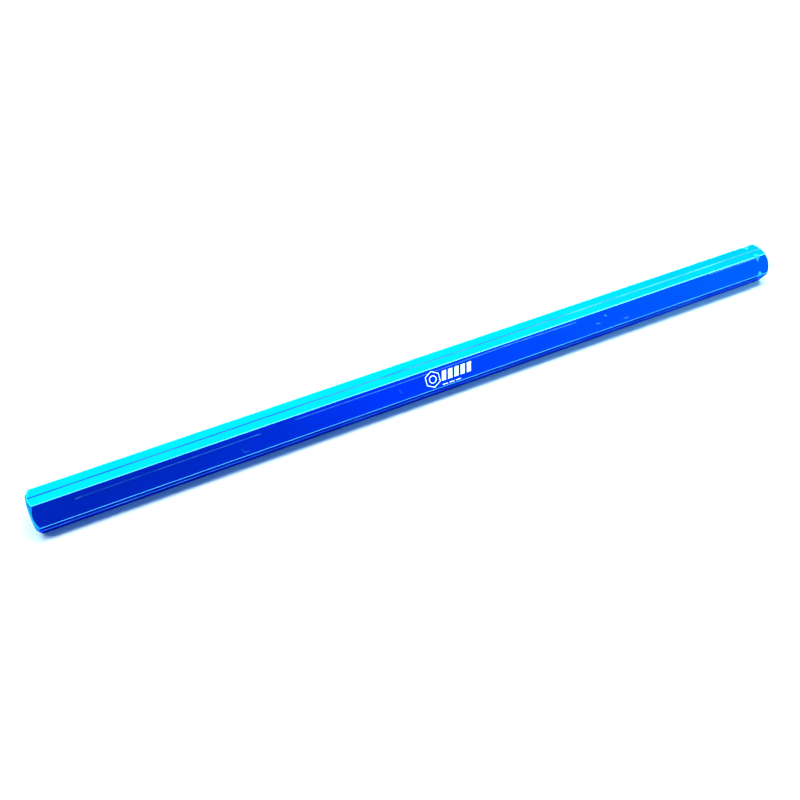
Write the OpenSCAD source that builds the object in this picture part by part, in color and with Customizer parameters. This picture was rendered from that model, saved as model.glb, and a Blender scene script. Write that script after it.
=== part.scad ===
/* [Tube] */
// Distance across the flats of the hexagon
across_flats = 14; // [13:0.5:17]
// Overall length, end face to end face
tube_length = 305; // [200:1:400]
// Diameter of the extruded bore that runs right through
bore_d = 6.8; // [6:0.1:7.4]
// How far the six long corners are rounded off, measured towards the axis
corner_relief = 0.05; // [0.03:0.01:0.2]
// Diameter of the round end faces that the turned 45 degree chamfers leave
end_face_d = 12.8; // [12.2:0.1:12.9]

/* [Left-hand thread groove] */
// Distance from the end face to the middle of the turned V groove
groove_from_end = 5.7; // [4:0.1:10]
// Diameter at the bottom of the V groove, which only reaches the corners
groove_bottom_d_over_flats = 0.5; // [0.2:0.05:0.8]
// Angle between the two walls of the V groove
groove_angle = 120; // [80:5:130]

/* [Thread inserts] */
// Clear diameter inside the M8 thread
thread_bore_d = 6.8; // [6.7:0.05:6.9]
// Outer diameter of an insert, and of its tapped seat in the tube
insert_d = 9.6; // [9.4:0.1:9.8]
// Length of one insert, two and a half thread diameters
insert_length = 20; // [12:1:24]
// How far an insert sits below the end face
insert_setback = 1.2; // [0.8:0.1:1.9]
// Depth of the full-width seat from the end face
seat_depth = 26; // [25.5:0.5:40]
// Angle of the drill point at the inner end of each seat
drill_point_angle = 118; // [90:1:140]
// Diameter of the countersink at each mouth
countersink_d = 10.4; // [10:0.1:10.8]
// Angle of the countersink at each mouth
countersink_angle = 90; // [80:5:120]

/* [Printed mark] */
// Thickness of the ink
ink = 0.05; // [0.03:0.01:0.1]
// Distance from the mark's left end to its right end
mark_length = 19.4; // [18:0.1:24]
// How far the middle of the mark is to the right of mid length
mark_offset = 0.5; // [0:0.1:2]
// Height of the hexagon emblem, corner to corner
emblem_h = 6.6; // [5:0.1:7]
// Line width of the emblem and of the dashes
line_w = 0.3; // [0.25:0.05:0.7]
// Number of slanted bars
bar_count = 5; // [3:1:6]
// Height of the bars
bar_height = 3.6; // [3:0.1:5]
// Sideways lean of the bars, from upright
bar_lean = 14; // [0:1:25]
// Number of dashes below the bars
dash_count = 3; // [2:1:5]

/* [Hidden] */
$fn = 96;

flat_r = across_flats / 2;
corner_r = flat_r / cos(30);
turned_r = corner_r - corner_relief;
end_r = end_face_d / 2;
chamfer = turned_r - end_r;
groove_r = flat_r + groove_bottom_d_over_flats / 2;
groove_half_w = (turned_r - groove_r) * tan(groove_angle / 2);
groove_x = tube_length - groove_from_end;

insert_r = insert_d / 2;
bore_r = bore_d / 2;
drill_point = (insert_r - bore_r) / tan(drill_point_angle / 2);
countersink_r = countersink_d / 2;
countersink_depth = (countersink_r - insert_r) / tan(countersink_angle / 2);
past = 1;

// The mark, in the print face's own plane: x along the tube, y across the face
emblem_w = emblem_h * cos(30);
emblem_ring_d = emblem_h * 0.46;
emblem_x = (emblem_w - mark_length) / 2;
bars_start = emblem_x + emblem_w / 2 + 0.5;
bar_pitch = (mark_length / 2 - bars_start) / bar_count;
bar_w = bar_pitch * 0.66;
bars_base = -1.7;
dash_y = -3.3;
dash_length = 2.1;
dash_gap = 0.7;

// Stands what is drawn upright along the tube's axis, from its left end
module along_axis() {
    translate([-tube_length / 2, 0, flat_r])
        rotate([0, 90, 0])
            children();
}

// The same from either end: side is -1 for the left end and 1 for the right
module from_end(side) {
    translate([side * tube_length / 2, 0, flat_r])
        rotate([0, -side * 90, 0])
            children();
}

// Lays a flat drawing on the front upper face as a film of ink
module on_print_face() {
    translate([mark_offset, 0, flat_r])
        rotate([60, 0, 0])
            translate([0, 0, flat_r])
                linear_extrude(ink)
                    children();
}

// What turning leaves: both end chamfers, the corners and the V groove
module turned_form() {
    rotate_extrude()
        polygon([
            [0, 0],
            [end_r, 0],
            [turned_r, chamfer],
            [turned_r, groove_x - groove_half_w],
            [groove_r, groove_x],
            [turned_r, groove_x + groove_half_w],
            [turned_r, tube_length - chamfer],
            [end_r, tube_length],
            [0, tube_length]
        ]);
}

// One end's seat for an insert, from its mouth inwards
module seat_cut() {
    translate([0, 0, -past])
        cylinder(r = insert_r, h = seat_depth + past);
    translate([0, 0, seat_depth])
        cylinder(r1 = insert_r, r2 = bore_r, h = drill_point);
    cylinder(r1 = countersink_r, r2 = insert_r, h = countersink_depth);
}

module hex_tube() {
    color("royalblue")
        difference() {
            along_axis()
                intersection() {
                    rotate([0, 0, 90])
                        cylinder(r = corner_r, h = tube_length, $fn = 6);
                    turned_form();
                }
            along_axis()
                translate([0, 0, seat_depth])
                    cylinder(r = bore_r, h = tube_length - 2 * seat_depth);
            from_end(-1) seat_cut();
            from_end(1) seat_cut();
        }
}

// A wound wire insert as the sleeve that it fills
module thread_insert() {
    translate([0, 0, insert_setback])
        difference() {
            cylinder(r = insert_r, h = insert_length);
            translate([0, 0, -past])
                cylinder(r = thread_bore_d / 2, h = insert_length + 2 * past);
        }
}

module right_hand_thread_insert() {
    color("silver") from_end(-1) thread_insert();
}

module left_hand_thread_insert() {
    color("silver") from_end(1) thread_insert();
}

// A hexagon outline around a small ring
module print_emblem() {
    color("white")
        on_print_face()
            translate([emblem_x, 0]) {
                rotate([0, 0, 30])
                    difference() {
                        circle(d = emblem_h, $fn = 6);
                        circle(d = emblem_h - 2 * line_w / cos(30), $fn = 6);
                    }
                difference() {
                    circle(d = emblem_ring_d);
                    circle(d = emblem_ring_d - 2 * line_w);
                }
            }
}

// Slanted bars, all alike
module print_bars() {
    lean = bar_height * tan(bar_lean);
    color("white")
        on_print_face()
            for (i = [0 : bar_count - 1])
                translate([bars_start + i * bar_pitch, bars_base])
                    polygon([[0, 0], [bar_w, 0], [bar_w + lean, bar_height], [lean, bar_height]]);
}

module print_dashes() {
    color("white")
        on_print_face()
            for (i = [0 : dash_count - 1])
                translate([bars_start + i * (dash_length + dash_gap), dash_y])
                    square([dash_length, line_w]);
}

hex_tube();
right_hand_thread_insert();
left_hand_thread_insert();
print_emblem();
print_bars();
print_dashes();
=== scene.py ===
"""The looks of a blue anodised hexagonal link tube: its tube, two wire thread inserts and its print."""

from math import atan2, ceil, cos, pi, radians, sin, tan

import bpy
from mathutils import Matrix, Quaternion, Vector


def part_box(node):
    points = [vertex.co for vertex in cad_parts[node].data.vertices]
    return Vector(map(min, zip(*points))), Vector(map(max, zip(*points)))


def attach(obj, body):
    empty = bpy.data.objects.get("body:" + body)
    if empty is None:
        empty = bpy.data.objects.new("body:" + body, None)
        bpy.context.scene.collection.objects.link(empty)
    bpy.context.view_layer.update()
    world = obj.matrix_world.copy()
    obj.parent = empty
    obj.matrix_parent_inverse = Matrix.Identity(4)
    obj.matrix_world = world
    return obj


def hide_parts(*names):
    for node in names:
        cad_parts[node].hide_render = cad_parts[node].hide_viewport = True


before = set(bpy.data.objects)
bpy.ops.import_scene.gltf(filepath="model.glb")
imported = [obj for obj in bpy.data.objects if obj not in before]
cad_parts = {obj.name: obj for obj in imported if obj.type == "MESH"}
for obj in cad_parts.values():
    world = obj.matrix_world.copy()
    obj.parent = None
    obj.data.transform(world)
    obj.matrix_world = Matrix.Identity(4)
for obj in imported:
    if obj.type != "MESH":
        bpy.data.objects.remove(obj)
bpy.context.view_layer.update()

MM = 0.001

# ---------------------------------------------------------------- sizes, in metres

tube_low, tube_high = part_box("hex_tube")
HALF_LENGTH = (tube_high.x - tube_low.x) / 2
FLAT_RADIUS = (tube_high.z - tube_low.z) / 2
AXIS_HEIGHT = (tube_high.z + tube_low.z) / 2
FLATS = 2 * FLAT_RADIUS

insert_low, insert_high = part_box("left_hand_thread_insert")
INSERT_RADIUS = (insert_high.z - insert_low.z) / 2
INSERT_LENGTH = insert_high.x - insert_low.x
INSERT_SETBACK = tube_high.x - insert_high.x

# The tube's section
CORNER_ROUNDING = 0.35 * MM
CORNER_STEPS = 8
FLAT_STEPS = 14
DIE_LINE_HALF_WIDTH = 0.32 * MM
DIE_LINE_DEPTH = 0.26 * MM

# Places across a die line, as shares of its half width: its points, how far its rounded bottom
# reaches, where the flat beside it starts, and the stretch that counts as its flank
DIE_LINE_SHARES = (-1, -0.9, -0.06, 0.06, 0.9, 1)
DIE_LINE_BOTTOM = 0.06
DIE_LINE_MARGIN = 1.15
FLANK_FROM = 0.1
FLANK_TO = 0.9

# What was turned on the tube
END_FACE_RADIUS = 6.4 * MM
GROOVE_X = HALF_LENGTH - 5.7 * MM
GROOVE_RADIUS = FLAT_RADIUS + 0.25 * MM
GROOVE_ANGLE = 120
GROOVE_SLOPE = tan(radians(GROOVE_ANGLE / 2))
LEAST_GROOVE_HALF_WIDTH = 0.04 * MM
EDGE_BREAK = 0.09 * MM
EDGE_STEPS = 3
END_FACE_RIM = EDGE_BREAK * 3

# The most of half the groove's width that one broken edge may take
MOST_BREAK_IN_GROOVE = 0.45

# How many stretches the outside and the bore are split into
LENGTH_STEPS = 40
BORE_STEPS = 10

# The bore, the tapped seats and the thread
PITCH = 1.25 * MM
BORE_RADIUS = 3.4 * MM
TAPPED_CREST_RADIUS = 4.18 * MM
SEAT_DEPTH = 26 * MM
COUNTERSINK_RADIUS = 5.2 * MM
STATIONS_PER_PITCH = 8
THREAD_SLOPE = tan(radians(60))
DRILL_POINT_ANGLE = 118
DRILL_POINT_SLOPE = 1 / tan(radians(DRILL_POINT_ANGLE / 2))

# The wire of the inserts
WIRE_HALF_WIDTH = 0.56 * MM
WIRE_TIP_HALF_WIDTH = 0.19 * MM
WIRE_ROUNDING = 0.07 * MM
WIRE_CLEARANCE = 0.02 * MM
WIRE_STEPS_PER_TURN = 40

# Edges over this angle stay sharp, and the weight lets wide faces set the normals beside narrow ones
SHARP_ANGLE = 35
WIDE_FACE_WEIGHT = 80

# ---------------------------------------------------------------- camera, floor and light

VIEW_AZIMUTH = radians(-22.97)
VIEW_ELEVATION = radians(43.84)
VIEW_ROLL = radians(-3.02)
VIEW_DISTANCE = 23.342 * FLATS
VIEW_AIM = Vector((-1.464 * FLATS, -0.517 * FLATS, AXIS_HEIGHT))
LENS = 39.84
SENSOR = 36.0
NEAREST_SEEN = 0.01
FARTHEST_SEEN = 50

# How far the picture's centre is above the lens axis, as a share of the picture's width
PICTURE_RISE = 0.000375

FLOOR_HALF_WIDTH = 3.0
FLOOR_COLOUR = (0.55, 0.55, 0.55, 1)
FLOOR_ROUGHNESS = 0.9

WHITE = (1, 1, 1, 1)
FILL_COLOUR = (0.09, 0.25, 0.37, 1)

# How bright the room is, worked out from a direction's X
ROOM_STEPS = [("ADD", 0.1), ("MAXIMUM", 0), ("POWER", 2.4), ("MULTIPLY", 6.5), ("ADD", 0.55)]

# The room dims again between these two X, down to a share of its brightness
DIM_FROM = 0.68
DIM_TO = 0.95
DIM_SHARE = 0.3
RANGE_SOCKETS = ("From Min", "From Max", "To Min", "To Max")

# Lamps that only gloss reflects, 1 m from the tube: name, bearing about +Z measured from +X,
# elevation, width, height and radiance
SOFTBOXES = [
    ("back_softbox", 70, 45, 1.8, 0.9, 26),
    ("overhead_softbox", -90, 84, 1.8, 0.7, 1.4),
]

# The key light is a row of suns that lean along the tube, so a shadow's ends are softer than its sides
KEY_LEANS = (-20, 0, 20)
KEY_SPREAD = 22
KEY_TILT = 2.2
KEY_STRENGTH = 9
KEY_COLOUR = (0.69, 0.90, 1.0)

# The side fill is a small lamp near the grooved end
SIDE_PLACE = Vector((0.42, -0.22, 0.16))
SIDE_WIDTH = 0.3
SIDE_HEIGHT = 0.2
SIDE_RADIANCE = 10.0
SIDE_COLOUR = (0.25, 0.8, 1.0)


def make_camera():
    data = bpy.data.cameras.new("camera")
    data.sensor_width = SENSOR
    data.lens = LENS
    data.shift_y = PICTURE_RISE
    data.clip_start = NEAREST_SEEN
    data.clip_end = FARTHEST_SEEN
    camera = bpy.data.objects.new("camera", data)
    bpy.context.scene.collection.objects.link(camera)
    level = cos(VIEW_ELEVATION)
    back = Vector((sin(VIEW_AZIMUTH) * level, -cos(VIEW_AZIMUTH) * level, sin(VIEW_ELEVATION)))
    camera.location = VIEW_AIM + back * VIEW_DISTANCE
    upright = back.to_track_quat("Z", "Y")
    camera.rotation_mode = "QUATERNION"
    camera.rotation_quaternion = upright @ Quaternion((0, 0, 1), VIEW_ROLL)
    bpy.context.scene.camera = camera


def link_lamp(name, data, only_gloss):
    """A lamp that the camera doesn't see, and that either only gloss reflects or gloss doesn't."""
    lamp = bpy.data.objects.new(name, data)
    bpy.context.scene.collection.objects.link(lamp)
    lamp.visible_camera = False
    lamp.visible_glossy = only_gloss
    lamp.visible_diffuse = not only_gloss
    return lamp


def make_area_lamp(name, place, width, height, radiance, only_gloss):
    """A rectangular lamp that faces the tube's middle."""
    data = bpy.data.lights.new(name, "AREA")
    data.shape = "RECTANGLE"
    data.size = width
    data.size_y = height
    data.energy = radiance * pi * width * height
    lamp = link_lamp(name, data, only_gloss)
    lamp.location = place
    lamp.rotation_euler = place.to_track_quat("Z", "Y").to_euler()
    return lamp


def make_softboxes():
    for name, bearing, elevation, width, height, radiance in SOFTBOXES:
        turn = radians(bearing)
        level = cos(radians(elevation))
        place = Vector((cos(turn) * level, sin(turn) * level, sin(radians(elevation))))
        make_area_lamp(name, place, width, height, radiance, only_gloss=True)


def make_key():
    """Soft light from just in front of overhead."""
    for lean in KEY_LEANS:
        data = bpy.data.lights.new("key", "SUN")
        data.angle = radians(KEY_SPREAD)
        data.energy = KEY_STRENGTH / len(KEY_LEANS)
        data.color = KEY_COLOUR
        lamp = link_lamp("key", data, only_gloss=False)
        lamp.rotation_euler = (radians(KEY_TILT), radians(lean), 0)


def make_side_fill():
    """Lightens the shadow and the lower face at the grooved end."""
    lamp = make_area_lamp("side_fill", SIDE_PLACE, SIDE_WIDTH, SIDE_HEIGHT, SIDE_RADIANCE, only_gloss=False)
    lamp.data.color = SIDE_COLOUR


def make_world():
    """Gloss reflects a room that is brighter towards +X. The rest gets a dim bluish fill, and the
    camera sees plain white."""
    world = bpy.data.worlds.new("studio")
    world.use_nodes = True
    bpy.context.scene.world = world
    tree = world.node_tree
    tree.nodes.clear()
    place = tree.nodes.new("ShaderNodeTexCoord")
    split = tree.nodes.new("ShaderNodeSeparateXYZ")
    tree.links.new(place.outputs["Generated"], split.inputs[0])
    level = split.outputs["X"]
    for operation, number in ROOM_STEPS:
        step = tree.nodes.new("ShaderNodeMath")
        step.operation = operation
        tree.links.new(level, step.inputs[0])
        step.inputs[1].default_value = number
        level = step.outputs[0]
    dim = tree.nodes.new("ShaderNodeMapRange")
    dim.interpolation_type = "SMOOTHSTEP"
    tree.links.new(split.outputs["X"], dim.inputs["Value"])
    for socket, number in zip(RANGE_SOCKETS, (DIM_FROM, DIM_TO, 1, DIM_SHARE)):
        dim.inputs[socket].default_value = number
    dimmed = tree.nodes.new("ShaderNodeMath")
    dimmed.operation = "MULTIPLY"
    tree.links.new(level, dimmed.inputs[0])
    tree.links.new(dim.outputs["Result"], dimmed.inputs[1])
    room = tree.nodes.new("ShaderNodeBackground")
    room.inputs["Color"].default_value = WHITE
    tree.links.new(dimmed.outputs[0], room.inputs["Strength"])
    fill = tree.nodes.new("ShaderNodeBackground")
    fill.inputs["Color"].default_value = FILL_COLOUR
    plain = tree.nodes.new("ShaderNodeBackground")
    plain.inputs["Color"].default_value = WHITE
    rays = tree.nodes.new("ShaderNodeLightPath")
    lit = tree.nodes.new("ShaderNodeMixShader")
    tree.links.new(rays.outputs["Is Glossy Ray"], lit.inputs[0])
    tree.links.new(fill.outputs[0], lit.inputs[1])
    tree.links.new(room.outputs[0], lit.inputs[2])
    mix = tree.nodes.new("ShaderNodeMixShader")
    tree.links.new(rays.outputs["Is Camera Ray"], mix.inputs[0])
    tree.links.new(lit.outputs[0], mix.inputs[1])
    tree.links.new(plain.outputs[0], mix.inputs[2])
    out = tree.nodes.new("ShaderNodeOutputWorld")
    tree.links.new(mix.outputs[0], out.inputs["Surface"])


def make_floor():
    half = FLOOR_HALF_WIDTH
    mesh = bpy.data.meshes.new("floor")
    corners = [(-half, -half, 0), (half, -half, 0), (half, half, 0), (-half, half, 0)]
    mesh.from_pydata(corners, [], [(0, 1, 2, 3)])
    floor = bpy.data.objects.new("floor", mesh)
    bpy.context.scene.collection.objects.link(floor)
    material = bpy.data.materials.new("floor_white")
    material.use_nodes = True
    shader = material.node_tree.nodes["Principled BSDF"]
    shader.inputs["Base Color"].default_value = FLOOR_COLOUR
    shader.inputs["Roughness"].default_value = FLOOR_ROUGHNESS
    shader.inputs["Specular IOR Level"].default_value = 0.0
    mesh.materials.append(material)


make_camera()
make_world()
make_floor()
make_softboxes()
make_key()
make_side_fill()
bpy.context.scene.view_settings.view_transform = "Standard"


# ---------------------------------------------------------------- materials


class Nodes:
    """Short calls for building one material's nodes."""

    def __init__(self, name):
        self.material = bpy.data.materials.new(name)
        self.material.use_nodes = True
        self.tree = self.material.node_tree
        self.shader = self.tree.nodes["Principled BSDF"]
        self.place = self.add("ShaderNodeTexCoord").outputs["Object"]
        lowered = self.add("ShaderNodeVectorMath", operation="SUBTRACT")
        self.feed(lowered.inputs[0], self.place)
        lowered.inputs[1].default_value = (0, 0, AXIS_HEIGHT)
        flattened = self.add("ShaderNodeVectorMath", operation="MULTIPLY")
        self.feed(flattened.inputs[0], lowered.outputs[0])
        flattened.inputs[1].default_value = (0, 1, 1)
        self.from_axis = flattened.outputs[0]

    def add(self, kind, **settings):
        node = self.tree.nodes.new(kind)
        for key, value in settings.items():
            setattr(node, key, value)
        return node

    def feed(self, socket, value):
        if isinstance(value, bpy.types.NodeSocket):
            self.tree.links.new(value, socket)
        else:
            socket.default_value = value

    def scaled(self, scale):
        node = self.add("ShaderNodeVectorMath", operation="MULTIPLY")
        self.feed(node.inputs[0], self.place)
        node.inputs[1].default_value = scale
        return node.outputs[0]

    def noise(self, scale, detail):
        """Noise whose cells are stretched as scale, in cells per metre along X, Y and Z."""
        node = self.add("ShaderNodeTexNoise")
        self.feed(node.inputs["Vector"], self.scaled(scale))
        node.inputs["Scale"].default_value = 1.0
        node.inputs["Detail"].default_value = detail
        node.inputs["Roughness"].default_value = NOISE_ROUGHNESS
        return node.outputs["Fac"]

    def dot(self, value, direction):
        node = self.add("ShaderNodeVectorMath", operation="DOT_PRODUCT")
        self.feed(node.inputs[0], value)
        node.inputs[1].default_value = direction
        return node.outputs["Value"]

    def segment(self, place, start, end, half_width):
        """1 on the core of the line from start to end, and 0 from half_width away from it."""
        reach = end - start
        from_start = self.add("ShaderNodeVectorMath", operation="SUBTRACT")
        self.feed(from_start.inputs[0], place)
        from_start.inputs[1].default_value = start
        share = self.span(self.dot(from_start.outputs[0], reach / reach.length_squared), 0.0, 1.0)
        nearest = self.add("ShaderNodeVectorMath", operation="SCALE")
        nearest.inputs[0].default_value = reach
        self.feed(nearest.inputs["Scale"], share)
        gap = self.add("ShaderNodeVectorMath", operation="DISTANCE")
        self.feed(gap.inputs[0], from_start.outputs[0])
        self.feed(gap.inputs[1], nearest.outputs[0])
        return self.span(gap.outputs["Value"], half_width, half_width * SCRATCH_CORE, smooth=True)

    def span(self, value, low, high, to_low=0.0, to_high=1.0, smooth=False):
        node = self.add("ShaderNodeMapRange")
        node.interpolation_type = "SMOOTHSTEP" if smooth else "LINEAR"
        self.feed(node.inputs["Value"], value)
        for socket, number in zip(RANGE_SOCKETS, (low, high, to_low, to_high)):
            self.feed(node.inputs[socket], number)
        return node.outputs["Result"]

    def math(self, operation, a, b=0.0):
        node = self.add("ShaderNodeMath", operation=operation)
        self.feed(node.inputs[0], a)
        self.feed(node.inputs[1], b)
        return node.outputs[0]

    def blend(self, fac, a, b):
        node = self.add("ShaderNodeMix", data_type="RGBA")
        self.feed(node.inputs[0], fac)
        self.feed(node.inputs[6], a)
        self.feed(node.inputs[7], b)
        return node.outputs[2]

    def bump(self, height, depth):
        node = self.add("ShaderNodeBump")
        self.feed(node.inputs["Height"], height)
        node.inputs["Distance"].default_value = depth
        node.inputs["Strength"].default_value = 1.0
        self.tree.links.new(node.outputs[0], self.shader.inputs["Normal"])

    def set(self, **values):
        """Sets shader sockets. A name's underscores stand for spaces."""
        for name, value in values.items():
            self.feed(self.shader.inputs[name.replace("_", " ")], value)


BLUE = (0.0003, 0.037, 0.90, 1)
DEEP_BLUE = (0.0002, 0.033, 0.83, 1)
# Colour of the painted highlight on the corners and die line flanks, and also of the scratches
HIGHLIGHT_AND_SCRATCH_BLUE = (0.10, 0.55, 0.97, 1)
TURNED_BLUE = (0.03, 0.50, 0.97, 1)
DEEP_TURNED_BLUE = (0.012, 0.32, 0.94, 1)
BLUE_EDGE = (0.03, 0.28, 1.0, 1)
STEEL = (0.50, 0.49, 0.47, 1)
DARK_STEEL = (0.42, 0.41, 0.40, 1)
INK_WHITE = (0.92, 0.93, 0.95, 1)
THIN_INK_WHITE = (0.80, 0.84, 0.92, 1)

# How deep the bumps are
STREAK_DEPTH = 0.0012 * MM
CUT_DEPTH = 0.003 * MM
WIRE_MARK_DEPTH = 0.004 * MM
INK_GRAIN_DEPTH = 0.006 * MM

NOISE_ROUGHNESS = 0.55

# The painted highlight on the corners starts at one distance off the axis and is full at the next
CORNER_HIGHLIGHT_FROM = FLAT_RADIUS + 0.97 * MM
CORNER_HIGHLIGHT_TO = FLAT_RADIUS + 1.01 * MM

# How far the printed face leans back. Only that face is scratched, so scratches start at one
# distance from the axis, measured straight out through the face, and are full at the next
FACE_LEAN = radians(30)
SCRATCH_START = FLAT_RADIUS - 0.08 * MM
SCRATCH_FULL = FLAT_RADIUS - 0.04 * MM

# The share of a scratch's width that has its full strength
SCRATCH_CORE = 0.35

# Scratches on the printed face: both ends as (along the tube, down the face), then half the width
# and how strong it is. The face's upper corner is at -4 and its lower corner at 4.
SCRATCHES = [
    ((-60, -2.62), (-20, -2.6), 0.2, 0.45),
    ((-20, -2.6), (28, -3.05), 0.2, 0.45),
    ((28, -3.05), (57, -2.75), 0.2, 0.4),
    ((122, -3.45), (147, -3.5), 0.16, 0.25),
    ((-137, -1.75), (-110, -1.83), 0.18, 0.3),
    ((-110, -1.83), (-73, -1.95), 0.18, 0.45),
    ((-137.5, -1.6), (-135.5, -1.75), 0.28, 0.5),
    ((-81, 0.9), (-80.4, 2.5), 0.22, 0.22),
    ((-80.5, 2.6), (-78.5, 2.5), 0.24, 0.26),
    ((-74.5, -1.9), (-73.5, -1.8), 0.3, 0.35),
    ((-20, -0.3), (-19.3, 1.1), 0.22, 0.25),
    ((66, 0.5), (67.5, 0.9), 0.24, 0.3),
    ((70, -1.7), (70.8, -1.2), 0.26, 0.4),
    ((78.5, 2.1), (80.5, 2.3), 0.24, 0.3),
]


def scratches(n):
    """How scratched a place is, from 0 to 1. Only the printed face has scratches."""
    down = (0, -sin(FACE_LEAN), -cos(FACE_LEAN))
    outward = (0, -cos(FACE_LEAN), sin(FACE_LEAN))
    along = n.dot(n.place, (1, 0, 0))
    across = n.dot(n.from_axis, down)
    on_face = n.span(n.dot(n.from_axis, outward), SCRATCH_START, SCRATCH_FULL)
    place = n.add("ShaderNodeCombineXYZ")
    n.feed(place.inputs["X"], along)
    n.feed(place.inputs["Y"], across)
    total = 0.0
    for start, end, half_width, strength in SCRATCHES:
        first = Vector((*start, 0)) * MM
        last = Vector((*end, 0)) * MM
        mask = n.segment(place.outputs[0], first, last, half_width * MM)
        total = n.math("MAXIMUM", total, n.math("MULTIPLY", mask, strength))
    broken = n.span(n.noise((420, 1500, 1500), detail=3), 0.35, 0.6, 0.5, 1.0)
    return n.math("MULTIPLY", n.math("MULTIPLY", total, on_face), broken)


def extruded_anodised():
    """Streaked along the tube, with a painted highlight on the corners, most of all on the two that stick
    out sideways.
    """
    n = Nodes("anodised_extruded")
    streaks = n.noise((14, 2600, 2600), detail=4)
    clouds = n.noise((45, 160, 160), detail=2)
    # Painted highlight: the rounded corners are paler, more so on the two that stick out sideways, broken
    # up by noise
    highlight_noise = n.span(n.noise((60, 900, 900), detail=3), 0.25, 0.55, 0.6, 1.0)
    radius = n.add("ShaderNodeVectorMath", operation="LENGTH")
    n.feed(radius.inputs[0], n.from_axis)
    corner = n.span(radius.outputs["Value"], CORNER_HIGHLIGHT_FROM, CORNER_HIGHLIGHT_TO, smooth=True)
    sideways = n.math("ABSOLUTE", n.dot(n.place, (0, 1, 0)))
    sideways_highlight = n.span(sideways, FLAT_RADIUS * 0.65, FLAT_RADIUS * 1.1, 0.4, 1.0)
    corner_highlight = n.math("MULTIPLY", n.math("MULTIPLY", corner, highlight_noise), sideways_highlight)
    # The painted corner highlight and the scratches both pale the colour towards this blue
    highlight_and_scratch = n.math("MAXIMUM", corner_highlight, scratches(n))
    base = n.blend(n.span(clouds, 0.3, 0.7), BLUE, DEEP_BLUE)
    n.set(Base_Color=n.blend(highlight_and_scratch, base, HIGHLIGHT_AND_SCRATCH_BLUE))
    n.set(Metallic=1.0, Specular_Tint=BLUE_EDGE)
    n.set(Roughness=n.math("ADD", n.span(streaks, 0.3, 0.7, 0.13, 0.2), n.math("MULTIPLY", highlight_and_scratch, 0.15)))
    n.bump(streaks, STREAK_DEPTH)
    return n.material


def die_line_flank_highlight():
    """The flanks of the die lines, paler as a painted highlight."""
    n = Nodes("die_line_painted_highlight")
    highlight_noise = n.noise((60, 900, 900), detail=3)
    # Painted highlight: the flanks are a paler blue, broken up by noise
    n.set(Base_Color=n.blend(n.span(highlight_noise, 0.3, 0.6, 0.15, 0.7), HIGHLIGHT_AND_SCRATCH_BLUE, BLUE))
    n.set(Metallic=1.0, Specular_Tint=BLUE_EDGE)
    n.set(Roughness=n.span(highlight_noise, 0.3, 0.7, 0.18, 0.26))
    return n.material


def turned_anodised():
    """Paler and duller, with the fine rings that turning leaves."""
    n = Nodes("anodised_turned")
    rings = n.noise((9000, 60, 60), detail=2)
    n.set(Base_Color=n.blend(n.span(rings, 0.3, 0.7), TURNED_BLUE, DEEP_TURNED_BLUE))
    n.set(Metallic=1.0, Specular_Tint=BLUE_EDGE)
    n.set(Roughness=n.span(rings, 0.3, 0.7, 0.24, 0.36))
    n.bump(rings, CUT_DEPTH)
    return n.material


def bored_anodised():
    """The bore and the tapped seats."""
    n = Nodes("anodised_bored")
    marks = n.noise((5000, 700, 700), detail=2)
    n.set(Base_Color=n.blend(n.span(marks, 0.3, 0.7), BLUE, DEEP_BLUE))
    n.set(Metallic=1.0, Specular_Tint=BLUE_EDGE)
    n.set(Roughness=n.span(marks, 0.3, 0.7, 0.26, 0.4))
    n.bump(marks, CUT_DEPTH)
    return n.material


def stainless_wire():
    """Drawn wire, slightly uneven."""
    n = Nodes("stainless_wire")
    drawn = n.noise((900, 2500, 2500), detail=3)
    n.set(Base_Color=n.blend(n.span(drawn, 0.3, 0.7), STEEL, DARK_STEEL))
    n.set(Metallic=1.0, Roughness=n.span(drawn, 0.3, 0.7, 0.2, 0.34))
    n.bump(drawn, WIRE_MARK_DEPTH)
    return n.material


def white_ink():
    """Ink that covers a little unevenly."""
    n = Nodes("white_ink")
    grain = n.noise((6000, 6000, 6000), detail=2)
    cover = n.noise((900, 900, 900), detail=3)
    n.set(Base_Color=n.blend(n.span(cover, 0.35, 0.65), INK_WHITE, THIN_INK_WHITE))
    n.set(Roughness=n.span(grain, 0.3, 0.7, 0.45, 0.6))
    n.bump(grain, INK_GRAIN_DEPTH)
    return n.material


# ---------------------------------------------------------------- shared mesh helpers


def make_piece(name, points, faces, materials, slots=None):
    mesh = bpy.data.meshes.new(name)
    mesh.from_pydata(points, [], faces)
    for material in materials:
        mesh.materials.append(material)
    if slots:
        mesh.polygons.foreach_set("material_index", slots)
    mesh.validate()
    mesh.shade_smooth()
    piece = bpy.data.objects.new(name, mesh)
    bpy.context.scene.collection.objects.link(piece)
    return piece


def sharpen(piece):
    piece.data.set_sharp_from_angle(angle=radians(SHARP_ANGLE))
    weighted = piece.modifiers.new("weighted", "WEIGHTED_NORMAL")
    weighted.keep_sharp = True
    weighted.mode = "FACE_AREA"
    weighted.weight = WIDE_FACE_WEIGHT


def spread(low, high, steps):
    return [low + (high - low) * i / steps for i in range(steps + 1)]


# ---------------------------------------------------------------- the hexagonal tube


def flat_offsets():
    """Places across one flat, from corner rounding to corner rounding, with the die line's own."""
    half = (FLAT_RADIUS - CORNER_ROUNDING) * tan(radians(30))
    left = spread(-half, -DIE_LINE_HALF_WIDTH * DIE_LINE_MARGIN, FLAT_STEPS // 2)
    line = [DIE_LINE_HALF_WIDTH * share for share in DIE_LINE_SHARES]
    return left + line + [-offset for offset in reversed(left)]


def die_line_depth(offset):
    """A V, a little rounded at its bottom and its two edges."""
    share = min(abs(offset) / DIE_LINE_HALF_WIDTH, 1)
    return DIE_LINE_DEPTH * (1 - max(share, DIE_LINE_BOTTOM)) / (1 - DIE_LINE_BOTTOM)


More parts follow.
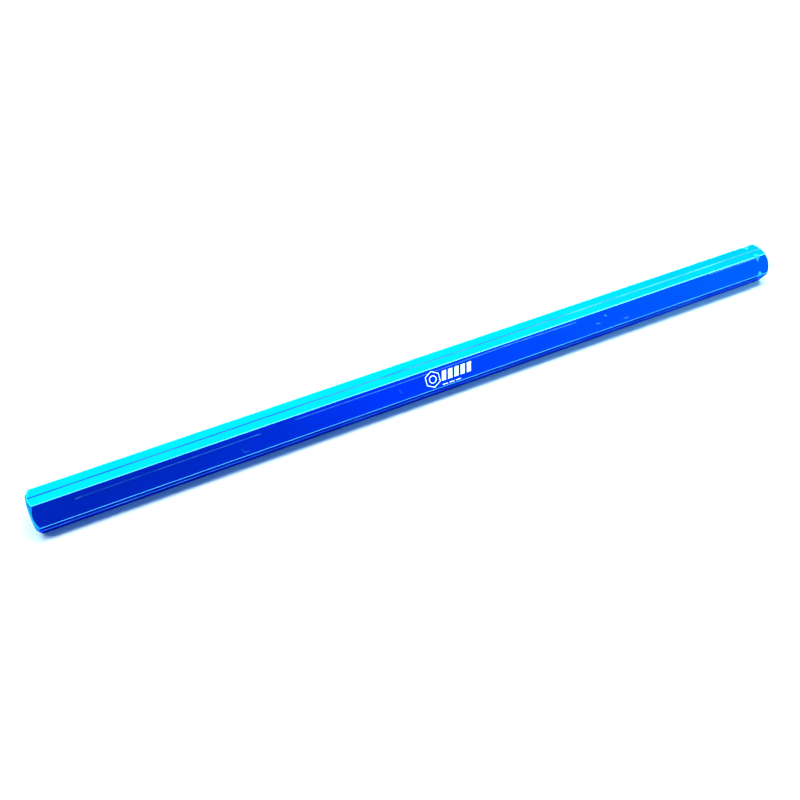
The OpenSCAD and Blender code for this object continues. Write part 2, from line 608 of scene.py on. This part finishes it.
def section():
    """The tube's section as (across, up) points about its axis, and whether the strip that follows
    each point is a flank of a die line. Alternate flats have one."""
    points, flanks = [], []
    corner_centre = (FLAT_RADIUS - CORNER_ROUNDING) / cos(radians(30))
    for flat in range(6):
        facing = radians(30 + 60 * flat)
        normal = Vector((cos(facing), sin(facing)))
        along = Vector((-sin(facing), cos(facing)))
        has_line = flat % 2 == 1
        offsets = flat_offsets()
        for offset, following in zip(offsets, offsets[1:] + offsets[-1:]):
            depth = die_line_depth(offset) if has_line else 0
            points.append(normal * (FLAT_RADIUS - depth) + along * offset)
            middle = abs(offset + following) / 2 / DIE_LINE_HALF_WIDTH
            flanks.append(has_line and FLANK_FROM < middle < FLANK_TO)
        centre_angle = facing + radians(30)
        centre = Vector((cos(centre_angle), sin(centre_angle))) * corner_centre
        for step in range(1, CORNER_STEPS):
            angle = facing + radians(60) * step / CORNER_STEPS
            points.append(centre + Vector((cos(angle), sin(angle))) * CORNER_ROUNDING)
            flanks.append(False)
    return points, flanks


def broken_edge(before, edge, after, reach):
    """The edge point as a short curve that starts and ends reach away from it."""
    start = edge + (before - edge).normalized() * reach
    end = edge + (after - edge).normalized() * reach
    curve = []
    for step in range(EDGE_STEPS + 1):
        t = step / EDGE_STEPS
        curve.append(start * (1 - t) ** 2 + edge * 2 * t * (1 - t) + end * t**2)
    return curve


def outer_line(radius):
    """(x, radius) points along the outside at one place round the section, from left to right, and
    whether the stretch that follows each point was turned."""
    chamfer = radius - END_FACE_RADIUS
    groove_depth = max(radius - GROOVE_RADIUS, 0)
    groove_half = max(groove_depth * GROOVE_SLOPE, LEAST_GROOVE_HALF_WIDTH)
    left_inner = Vector((-HALF_LENGTH, END_FACE_RADIUS - END_FACE_RIM))
    left_end = Vector((-HALF_LENGTH, END_FACE_RADIUS))
    left_chamfer = Vector((-HALF_LENGTH + chamfer, radius))
    groove_left = Vector((GROOVE_X - groove_half, radius))
    groove_floor = Vector((GROOVE_X, radius - groove_depth))
    groove_right = Vector((GROOVE_X + groove_half, radius))
    right_chamfer = Vector((HALF_LENGTH - chamfer, radius))
    right_end = Vector((HALF_LENGTH, END_FACE_RADIUS))
    right_inner = Vector((HALF_LENGTH, END_FACE_RADIUS - END_FACE_RIM))
    groove_reach = min(EDGE_BREAK, groove_half * MOST_BREAK_IN_GROOVE)

    line = broken_edge(left_inner, left_end, left_chamfer, EDGE_BREAK)
    line += broken_edge(left_end, left_chamfer, groove_left, EDGE_BREAK)
    turned = [True] * (len(line) - 1)
    for x in spread(left_chamfer.x, groove_left.x, LENGTH_STEPS)[1:-1]:
        line.append(Vector((x, radius)))
    turned += [False] * (len(line) - len(turned))
    line += broken_edge(left_chamfer, groove_left, groove_floor, groove_reach)
    line += broken_edge(groove_left, groove_floor, groove_right, groove_reach)
    line += broken_edge(groove_floor, groove_right, right_chamfer, groove_reach)
    turned += [groove_depth > 0] * (len(line) - len(turned) - 1) + [False]
    line += broken_edge(groove_right, right_chamfer, right_end, EDGE_BREAK)
    line += broken_edge(right_chamfer, right_end, right_inner, EDGE_BREAK)
    turned += [True] * (len(line) - len(turned))
    return line, turned


def thread_phase(depth, angle):
    """How far, from 0 to 1, a place is from the middle of one turn of wire to the next."""
    start = INSERT_SETBACK + WIRE_HALF_WIDTH
    return ((depth - start) / PITCH - angle / (2 * pi)) % 1


def seat_radius(depth, angle):
    """The tapped seat's radius at a depth below the mouth."""
    from_root = min(thread_phase(depth, angle), 1 - thread_phase(depth, angle)) * PITCH
    middle = (TAPPED_CREST_RADIUS + INSERT_RADIUS) / 2
    thread = middle + (PITCH / 4 - from_root) * THREAD_SLOPE
    thread = min(max(thread, TAPPED_CREST_RADIUS), INSERT_RADIUS)
    run_out = min(max((SEAT_DEPTH - depth) / PITCH, 0), 1)
    thread = TAPPED_CREST_RADIUS + (thread - TAPPED_CREST_RADIUS) * run_out
    return max(thread, COUNTERSINK_RADIUS - depth)


def seat_line(angle):
    """(depth, radius) points down one seat, from its mouth to the plain bore."""
    steps = ceil(SEAT_DEPTH / PITCH * STATIONS_PER_PITCH)
    line = [(depth, seat_radius(depth, angle)) for depth in spread(0, SEAT_DEPTH, steps)]
    drill_point = (TAPPED_CREST_RADIUS - BORE_RADIUS) * DRILL_POINT_SLOPE
    line.append((SEAT_DEPTH + drill_point, BORE_RADIUS))
    return line


def inner_line(angle):
    """(x, radius) points along the inside at one angle, from the right mouth to the left one."""
    right = [Vector((HALF_LENGTH - depth, radius)) for depth, radius in seat_line(angle)]
    left = [Vector((-HALF_LENGTH + depth, radius)) for depth, radius in seat_line(angle)]
    bore = [Vector((x, BORE_RADIUS)) for x in spread(right[-1].x, left[-1].x, BORE_STEPS)[1:-1]]
    return right + bore + list(reversed(left))


# The tube's material slots, in order
EXTRUDED, TURNED, BORED, DIE_LINE = range(4)


def make_hex_tube():
    points, faces, slots = [], [], []
    columns, flanks = section()
    for column, flank in zip(columns, flanks):
        angle = atan2(column.y, column.x)
        outer, turned = outer_line(column.length)
        inner = inner_line(angle)
        loop = outer + inner
        points += [(p.x, p.y * cos(angle), AXIS_HEIGHT + p.y * sin(angle)) for p in loop]
        plain = DIE_LINE if flank else EXTRUDED
        slots_here = [TURNED if cut else plain for cut in turned] + [BORED] * len(inner)
        slots_here[len(outer) - 1] = TURNED
        slots_here[-1] = TURNED
        slots += slots_here
    count = len(points) // len(columns)
    for i in range(len(columns)):
        this, following = i * count, (i + 1) % len(columns) * count
        for j in range(count):
            k = (j + 1) % count
            faces.append((this + j, following + j, following + k, this + k))
    materials = [extruded_anodised(), turned_anodised(), bored_anodised(), die_line_flank_highlight()]
    tube = make_piece("hexagonal_tube", points, faces, materials, slots)
    sharpen(tube)
    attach(tube, "root")
    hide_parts("hex_tube")


# ---------------------------------------------------------------- the wire thread inserts


def wire_section():
    """(along, radius) points of the wire: a diamond with its inner and outer tips cut off."""
    low, high = BORE_RADIUS, INSERT_RADIUS - WIRE_CLEARANCE
    middle = (low + high) / 2
    tip, wide, soft = WIRE_TIP_HALF_WIDTH, WIRE_HALF_WIDTH, WIRE_ROUNDING
    right = [(tip - soft / 2, low), (tip + soft / 2, low + soft)]
    right += [(wide, middle - soft), (wide, middle + soft)]
    right += [(tip + soft / 2, high - soft), (tip - soft / 2, high)]
    return right + [(-along, radius) for along, radius in reversed(right)]


def make_insert(node, side, material):
    """side is 1 for the right end and -1 for the left end, which mirrors the helix."""
    ring = wire_section()
    start = INSERT_SETBACK + WIRE_HALF_WIDTH
    turns = (INSERT_LENGTH - 2 * WIRE_HALF_WIDTH) / PITCH
    steps = ceil(turns * WIRE_STEPS_PER_TURN)
    points, faces = [], []
    for step in range(steps + 1):
        angle = 2 * pi * turns * step / steps
        depth = start + PITCH * angle / (2 * pi)
        for along, radius in ring:
            x = side * (HALF_LENGTH - depth - along)
            points.append((x, radius * cos(angle), AXIS_HEIGHT + radius * sin(angle)))
    count = len(ring)
    for step in range(steps):
        this, following = step * count, (step + 1) * count
        for j in range(count):
            k = (j + 1) % count
            face = (this + j, this + k, following + k, following + j)
            faces.append(face if side > 0 else face[::-1])
    first = tuple(range(count))
    last = tuple(range(steps * count, (steps + 1) * count))
    faces.append(first[::-1] if side > 0 else first)
    faces.append(last if side > 0 else last[::-1])
    insert = make_piece(node.replace("thread_insert", "wire_insert"), points, faces, [material])
    sharpen(insert)
    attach(insert, "root")
    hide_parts(node)


make_hex_tube()
wire = stainless_wire()
make_insert("right_hand_thread_insert", -1, wire)
make_insert("left_hand_thread_insert", 1, wire)


# ---------------------------------------------------------------- the print

ink = white_ink()
for name in ("print_emblem", "print_bars", "print_dashes"):
    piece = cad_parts[name]
    piece.data.materials.clear()
    piece.data.materials.append(ink)
